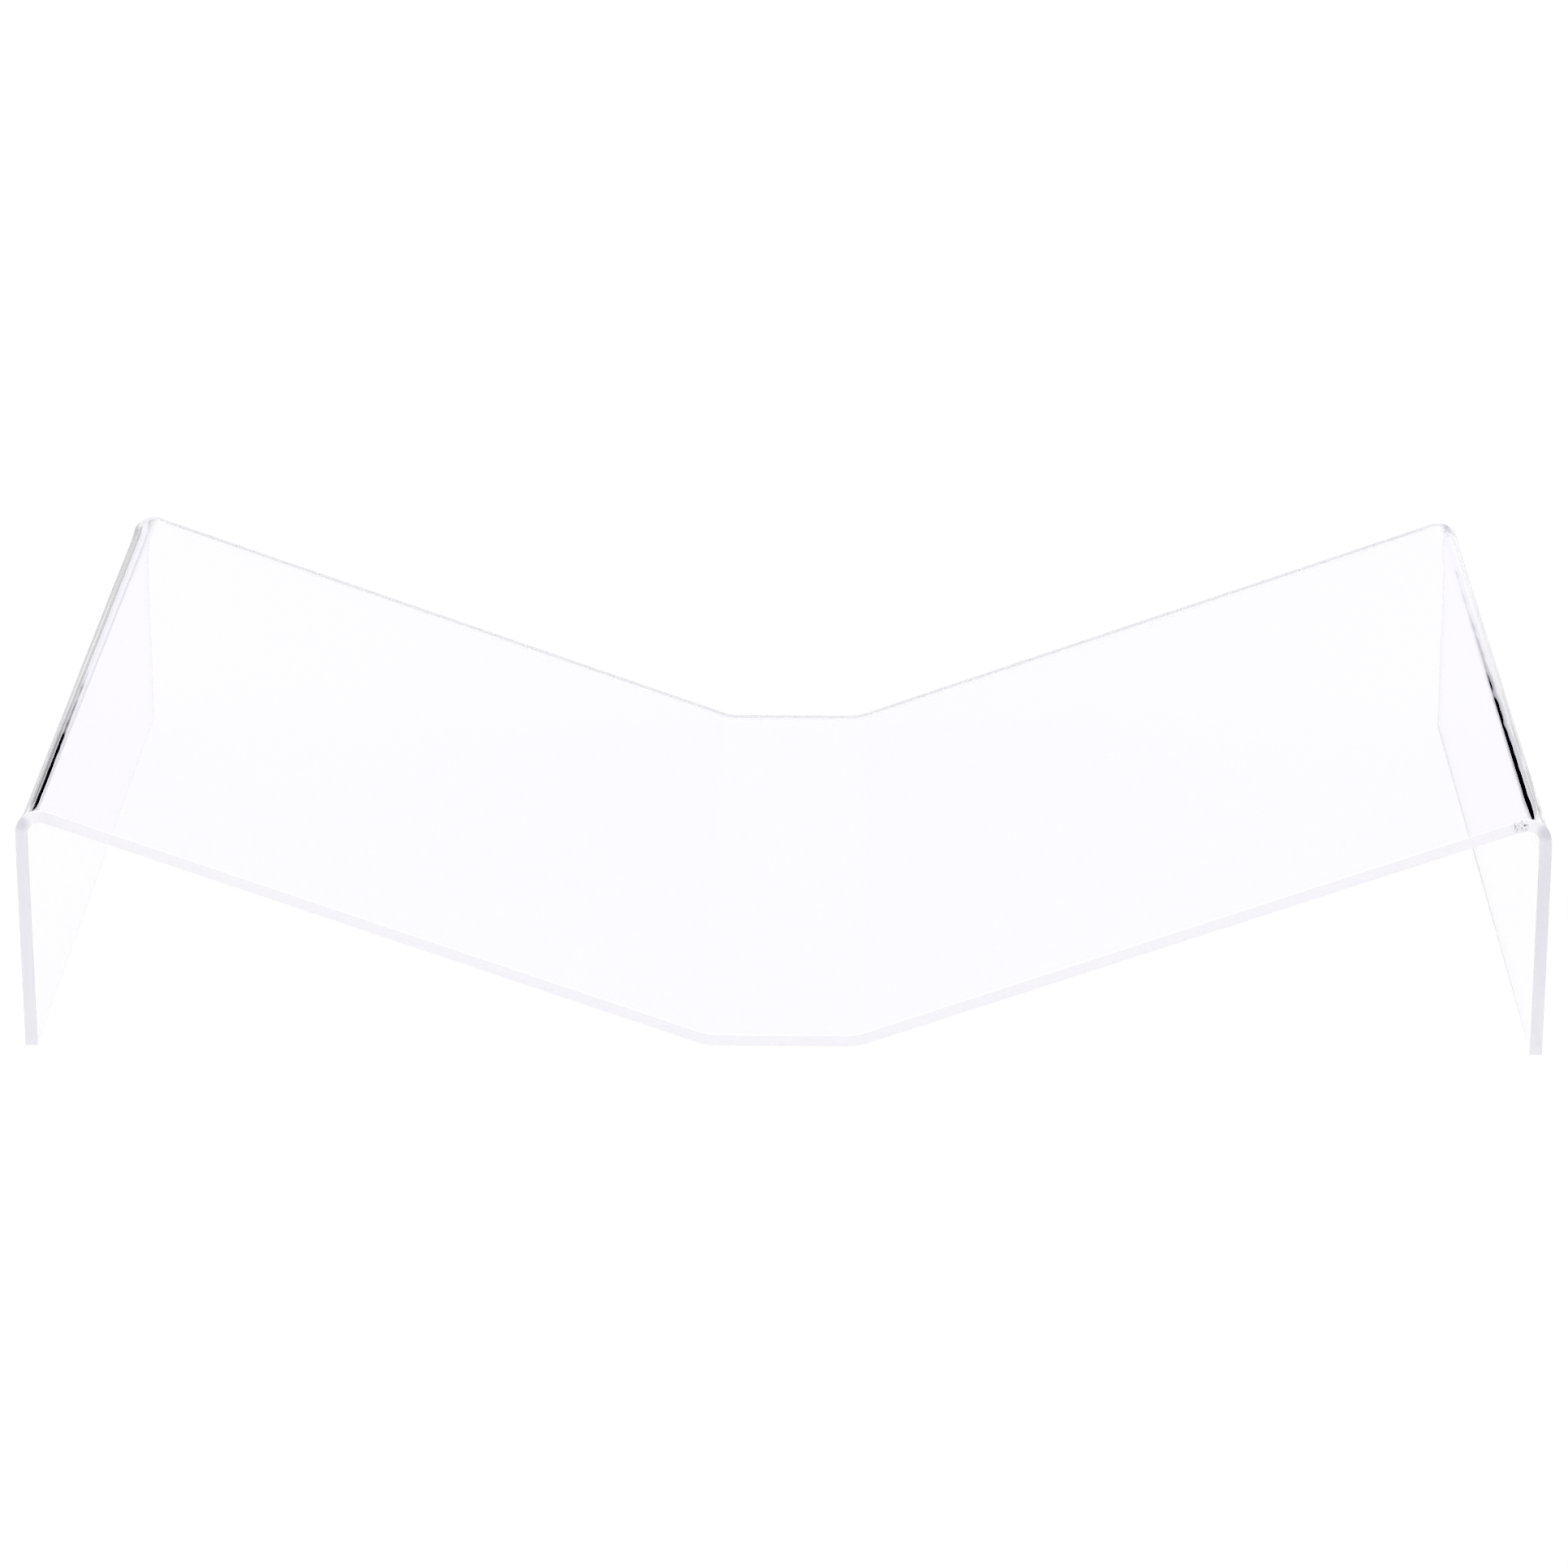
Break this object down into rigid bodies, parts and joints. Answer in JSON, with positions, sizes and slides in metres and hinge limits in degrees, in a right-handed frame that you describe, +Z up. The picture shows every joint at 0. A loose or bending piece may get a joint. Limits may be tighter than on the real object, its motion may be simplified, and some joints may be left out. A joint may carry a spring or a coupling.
{
  "type": "magazine display cradle",
  "caption": "Free-standing clear acrylic cradle, bent from a single sheet, that holds an open magazine or book in a shallow V above the table.",
  "frame": {"origin": "on the table, at the middle of the width and of the depth", "axes": "+X along the width, from the left wing to the right wing; +Y from the reader's side to the back, along the bend lines; +Z up from the table"},
  "size_m": [0.37, 0.204, 0.0625],
  "materials": {
    "clear_acrylic": "polished"
  },
  "bodies": {
    "root": {"bent_sheet": "clear_acrylic"}
  },
  "joints": []
}
